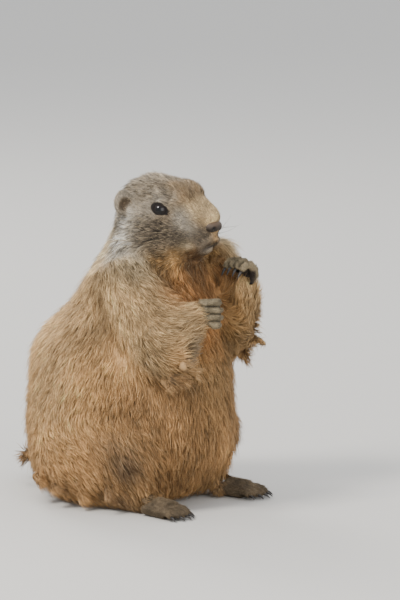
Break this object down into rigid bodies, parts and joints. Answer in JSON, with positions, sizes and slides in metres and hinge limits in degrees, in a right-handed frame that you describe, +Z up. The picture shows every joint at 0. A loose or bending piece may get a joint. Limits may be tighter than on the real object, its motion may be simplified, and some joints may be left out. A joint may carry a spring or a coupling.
{
  "type": "alpine marmot",
  "caption": "Still life-size alpine marmot sitting up on its haunches, forepaws held in front of the chest, long hind feet flat and tail laid round on the floor.",
  "frame": {"origin": "on the floor under the seat, at the middle of the body", "axes": "+Z up, -Y the way the animal faces, +X its left side"},
  "size_m": [0.248, 0.2893, 0.3281],
  "materials": {
    "coat_body": "dense tawny fur with grey and dark brown hairs",
    "coat_head": "short grizzled grey-brown fur",
    "coat_paw": "very short grey-beige fur, dark pads",
    "coat_tail": "bushy dark brown fur",
    "nose_skin": "dark bare skin, slightly moist",
    "eye": "black, wet and glossy",
    "claw": "dark horn"
  },
  "bodies": {
    "root": {"head": "coat_head", "jaw": "coat_head", "neck": "coat_head", "ear_left": "coat_head", "ear_right": "coat_head", "nose": "nose_skin", "eye_left": "eye", "eye_right": "eye", "chest": "coat_body", "belly": "coat_body", "upper_arm_left": "coat_body", "upper_arm_right": "coat_body", "forearm_left": "coat_body", "forearm_right": "coat_body", "thigh_left": "coat_body", "thigh_right": "coat_body", "tail_base": "coat_body", "tail_middle": "coat_body", "tail_tip": "coat_tail", "paw_left": "coat_paw", "paw_right": "coat_paw", "foot_left": "coat_paw", "foot_right": "coat_paw", "claw_left_1": "claw", "claw_left_2": "claw", "claw_left_3": "claw", "claw_left_4": "claw", "claw_right_1": "claw", "claw_right_2": "claw", "claw_right_3": "claw", "claw_right_4": "claw", "claw_hind_left_1": "claw", "claw_hind_left_2": "claw", "claw_hind_left_3": "claw", "claw_hind_left_4": "claw", "claw_hind_left_5": "claw", "claw_hind_right_1": "claw", "claw_hind_right_2": "claw", "claw_hind_right_3": "claw", "claw_hind_right_4": "claw", "claw_hind_right_5": "claw"}
  },
  "joints": []
}
